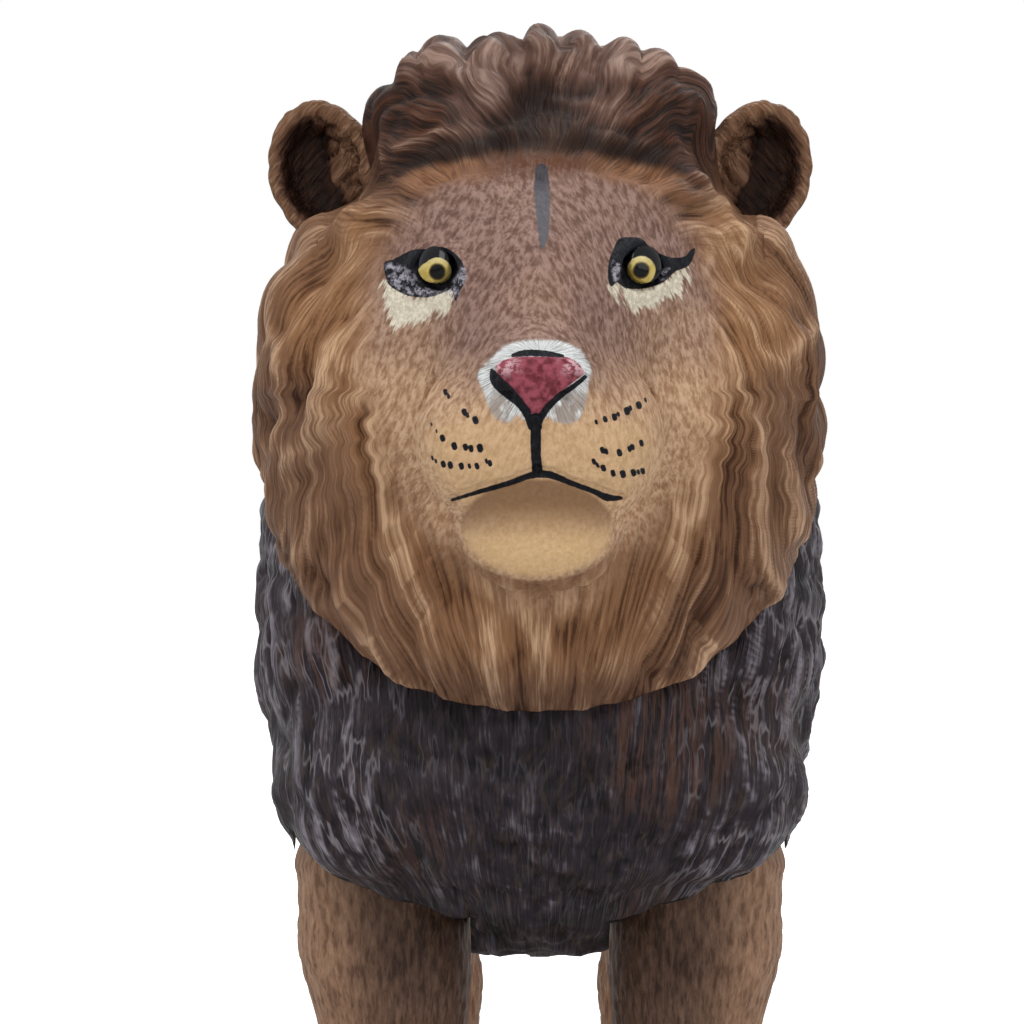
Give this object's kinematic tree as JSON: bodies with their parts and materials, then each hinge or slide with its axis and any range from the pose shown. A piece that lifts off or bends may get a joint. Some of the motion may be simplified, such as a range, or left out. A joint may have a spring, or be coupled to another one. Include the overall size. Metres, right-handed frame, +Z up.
{
  "type": "toy lion figure",
  "caption": "Standing toy lion in painted soft vinyl, with a turning head, swinging legs and a turning tail.",
  "frame": {"origin": "on the ground, under the middle of the figure's box", "axes": "the lion faces -Y, its own left side is +X, +Z is up"},
  "size_m": [0.0838, 0.2987, 0.1935],
  "materials": {
    "body_vinyl": "sculpted soft vinyl, black mane sprayed over brown, slightly glossy",
    "head_vinyl": "sculpted soft vinyl, sprayed and brushed in browns and tan",
    "eye_gloss": "glossy yellow domes with a painted pupil",
    "leg_vinyl": "short-haired tan vinyl with dark spray",
    "plug_plastic": "plain moulded plastic, hidden inside"
  },
  "bodies": {
    "torso": {"torso": "body_vinyl"},
    "head": {"head": "head_vinyl", "eye_left": "eye_gloss", "eye_right": "eye_gloss", "neck_plug": "plug_plastic"},
    "foreleg_left": {"foreleg_left": "leg_vinyl", "foreleg_left_plug": "plug_plastic"},
    "foreleg_right": {"foreleg_right": "leg_vinyl", "foreleg_right_plug": "plug_plastic"},
    "hindleg_left": {"hindleg_left": "leg_vinyl", "hindleg_left_plug": "plug_plastic"},
    "hindleg_right": {"hindleg_right": "leg_vinyl", "hindleg_right_plug": "plug_plastic"},
    "tail": {"tail": "leg_vinyl", "tail_plug": "plug_plastic"}
  },
  "joints": [
    {"name": "neck_turn", "type": "hinge", "parent": "torso", "child": "head", "pos_m": [0, -0.07801, 0.133], "axis": [0, -0.7314, 0.682], "range_deg": [-35, 35]},
    {"name": "foreleg_left_swing", "type": "hinge", "parent": "torso", "child": "foreleg_left", "pos_m": [0.0103, -0.06801, 0.105], "axis": [1, 0, 0], "range_deg": [-15, 15]},
    {"name": "foreleg_right_swing", "type": "hinge", "parent": "torso", "child": "foreleg_right", "pos_m": [-0.0103, -0.06801, 0.105], "axis": [1, 0, 0], "range_deg": [-15, 15]},
    {"name": "hindleg_left_swing", "type": "hinge", "parent": "torso", "child": "hindleg_left", "pos_m": [0.0103, 0.07999, 0.105], "axis": [1, 0, 0], "range_deg": [-15, 15]},
    {"name": "hindleg_right_swing", "type": "hinge", "parent": "torso", "child": "hindleg_right", "pos_m": [-0.0103, 0.07999, 0.105], "axis": [1, 0, 0], "range_deg": [-15, 15]},
    {"name": "tail_turn", "type": "hinge", "parent": "torso", "child": "tail", "pos_m": [0, 0.11687, 0.13201], "axis": [0, 0.891, 0.454], "range_deg": [-60, 60]}
  ]
}
